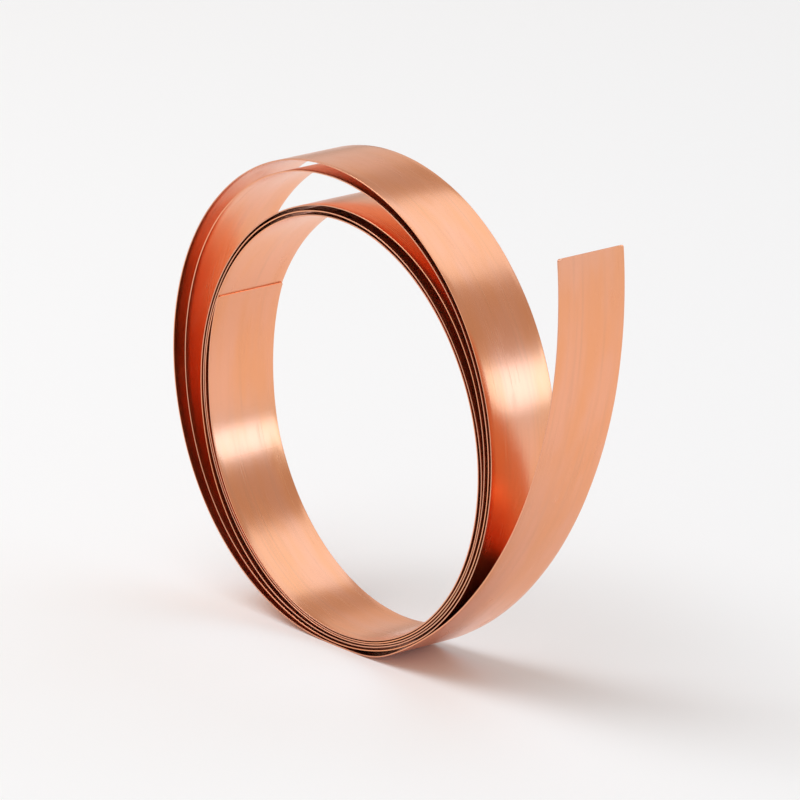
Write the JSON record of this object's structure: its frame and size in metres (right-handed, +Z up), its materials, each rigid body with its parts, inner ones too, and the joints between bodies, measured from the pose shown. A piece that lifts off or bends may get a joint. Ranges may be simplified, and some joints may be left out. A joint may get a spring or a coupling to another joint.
{
  "type": "copper foil tape roll",
  "caption": "Loose standing roll of plain copper strip, wound in open turns, with a sprung free end outside and a free cut end inside.",
  "frame": {"origin": "centre of the round first turn, halfway across the strip's width", "axes": "+Y along the roll's axis, +Z up as the roll stands, +X towards the side where the free end springs away"},
  "size_m": [0.1457, 0.02, 0.1192],
  "materials": {
    "copper": "bright rolled copper, satin along the grain, with slit edges"
  },
  "bodies": {
    "roll": {"turn_1": "copper", "turn_2": "copper", "turn_3": "copper", "turn_4": "copper", "turn_5": "copper", "turn_6": "copper"},
    "inner_end_1": {"inner_end_1": "copper"},
    "inner_end_2": {"inner_end_2": "copper"},
    "inner_end_3": {"inner_end_3": "copper"},
    "tail_1": {"tail_1": "copper"},
    "tail_2": {"tail_2": "copper"},
    "tail_3": {"tail_3": "copper"},
    "tail_4": {"tail_4": "copper"},
    "tail_5": {"tail_5": "copper"},
    "tail_6": {"tail_6": "copper"},
    "tail_7": {"tail_7": "copper"}
  },
  "joints": [
    {"name": "inner_end_flex_1", "type": "hinge", "parent": "roll", "child": "inner_end_1", "pos_m": [-0.04839, 0, -0.01761], "axis": [0, 1, 0], "range_deg": [0, 15], "stiffness_Nm_per_rad": 1.17},
    {"name": "inner_end_flex_2", "type": "hinge", "parent": "inner_end_1", "child": "inner_end_2", "pos_m": [-0.0513, 0, -0.00449], "axis": [0, 1, 0], "range_deg": [0, 15]},
    {"name": "inner_end_flex_3", "type": "hinge", "parent": "inner_end_2", "child": "inner_end_3", "pos_m": [-0.05072, 0, 0.00894], "axis": [0, 1, 0], "range_deg": [0, 15]},
    {"name": "tail_flex_1", "type": "hinge", "parent": "roll", "child": "tail_1", "pos_m": [0.01902, 0, -0.05173], "axis": [0, -1, 0], "range_deg": [-10, 0], "stiffness_Nm_per_rad": 0.6},
    {"name": "tail_flex_2", "type": "hinge", "parent": "tail_1", "child": "tail_2", "pos_m": [0.03421, 0, -0.04279], "axis": [0, -1, 0], "range_deg": [-10, 0]},
    {"name": "tail_flex_3", "type": "hinge", "parent": "tail_2", "child": "tail_3", "pos_m": [0.04761, 0, -0.03134], "axis": [0, -1, 0], "range_deg": [-10, 5], "stiffness_Nm_per_rad": 0.52},
    {"name": "tail_flex_4", "type": "hinge", "parent": "tail_3", "child": "tail_4", "pos_m": [0.0603, 0, -0.01594], "axis": [0, -1, 0], "range_deg": [-10, 5]},
    {"name": "tail_flex_5", "type": "hinge", "parent": "tail_4", "child": "tail_5", "pos_m": [0.07013, 0, 0.00143], "axis": [0, -1, 0], "range_deg": [-10, 10], "stiffness_Nm_per_rad": 0.79},
    {"name": "tail_flex_6", "type": "hinge", "parent": "tail_5", "child": "tail_6", "pos_m": [0.0768, 0, 0.02024], "axis": [0, -1, 0], "range_deg": [-10, 10]},
    {"name": "tail_flex_7", "type": "hinge", "parent": "tail_6", "child": "tail_7", "pos_m": [0.08009, 0, 0.03993], "axis": [0, -1, 0], "range_deg": [-10, 10]}
  ],
  "couplings": [
    {"joint": "inner_end_flex_2", "follows": "inner_end_flex_1", "ratio": 1},
    {"joint": "inner_end_flex_3", "follows": "inner_end_flex_1", "ratio": 1},
    {"joint": "tail_flex_2", "follows": "tail_flex_1", "ratio": 1},
    {"joint": "tail_flex_4", "follows": "tail_flex_3", "ratio": 1},
    {"joint": "tail_flex_6", "follows": "tail_flex_5", "ratio": 1},
    {"joint": "tail_flex_7", "follows": "tail_flex_5", "ratio": 1}
  ]
}
